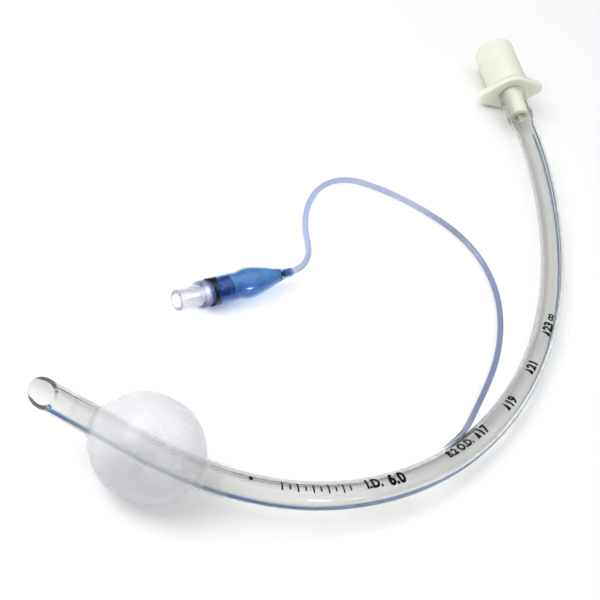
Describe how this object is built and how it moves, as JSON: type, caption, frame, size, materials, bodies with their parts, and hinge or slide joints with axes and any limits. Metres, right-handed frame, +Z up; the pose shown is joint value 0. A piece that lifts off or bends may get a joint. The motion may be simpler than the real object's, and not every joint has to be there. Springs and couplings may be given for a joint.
{
  "type": "endotracheal tube",
  "caption": "Long curved clear breathing tube with a slanted tip, an inflated round cuff, a 15 mm connector, and a pilot line with a blue balloon and a spring-loaded inflation valve.",
  "frame": {"origin": "middle of the lying shaft, cuff and connector, on the table that they lie on", "axes": "+Z up from the table; +Y the way the connector end points, roughly; +X to the convex side of the shaft's curve"},
  "size_m": [0.1842, 0.2512, 0.0293],
  "materials": {
    "clear_shaft": "clear soft vinyl",
    "blue_line": "blue line in the wall",
    "cuff_film": "milky thin film",
    "connector_plastic": "milky translucent",
    "pilot_tubing": "clear blue tubing",
    "balloon_film": "clear blue film",
    "clear_valve": "clear hard plastic",
    "valve_shell": "clear blue hard plastic",
    "seal_rubber": "pale rubber",
    "plunger_plastic": "white",
    "spring_wire": "drawn wire"
  },
  "bodies": {
    "tube_set": {"tube": "clear_shaft", "radiopaque_stripe": "blue_line", "cuff": "cuff_film", "connector": "connector_plastic", "pilot_line": "pilot_tubing", "pilot_balloon": "balloon_film", "valve_port": "clear_valve", "valve_body": "valve_shell", "valve_spring": "spring_wire"},
    "plunger": {"valve_plunger": "plunger_plastic", "valve_seal": "seal_rubber"}
  },
  "joints": [
    {"name": "plunger_press", "type": "slide", "parent": "tube_set", "child": "plunger", "axis": [0.8354, 0.5487, 0.0318], "range_m": [0, 0.0012], "stiffness_N_per_m": 300, "springref_m": -0.001, "deforming": ["valve_spring"]}
  ]
}
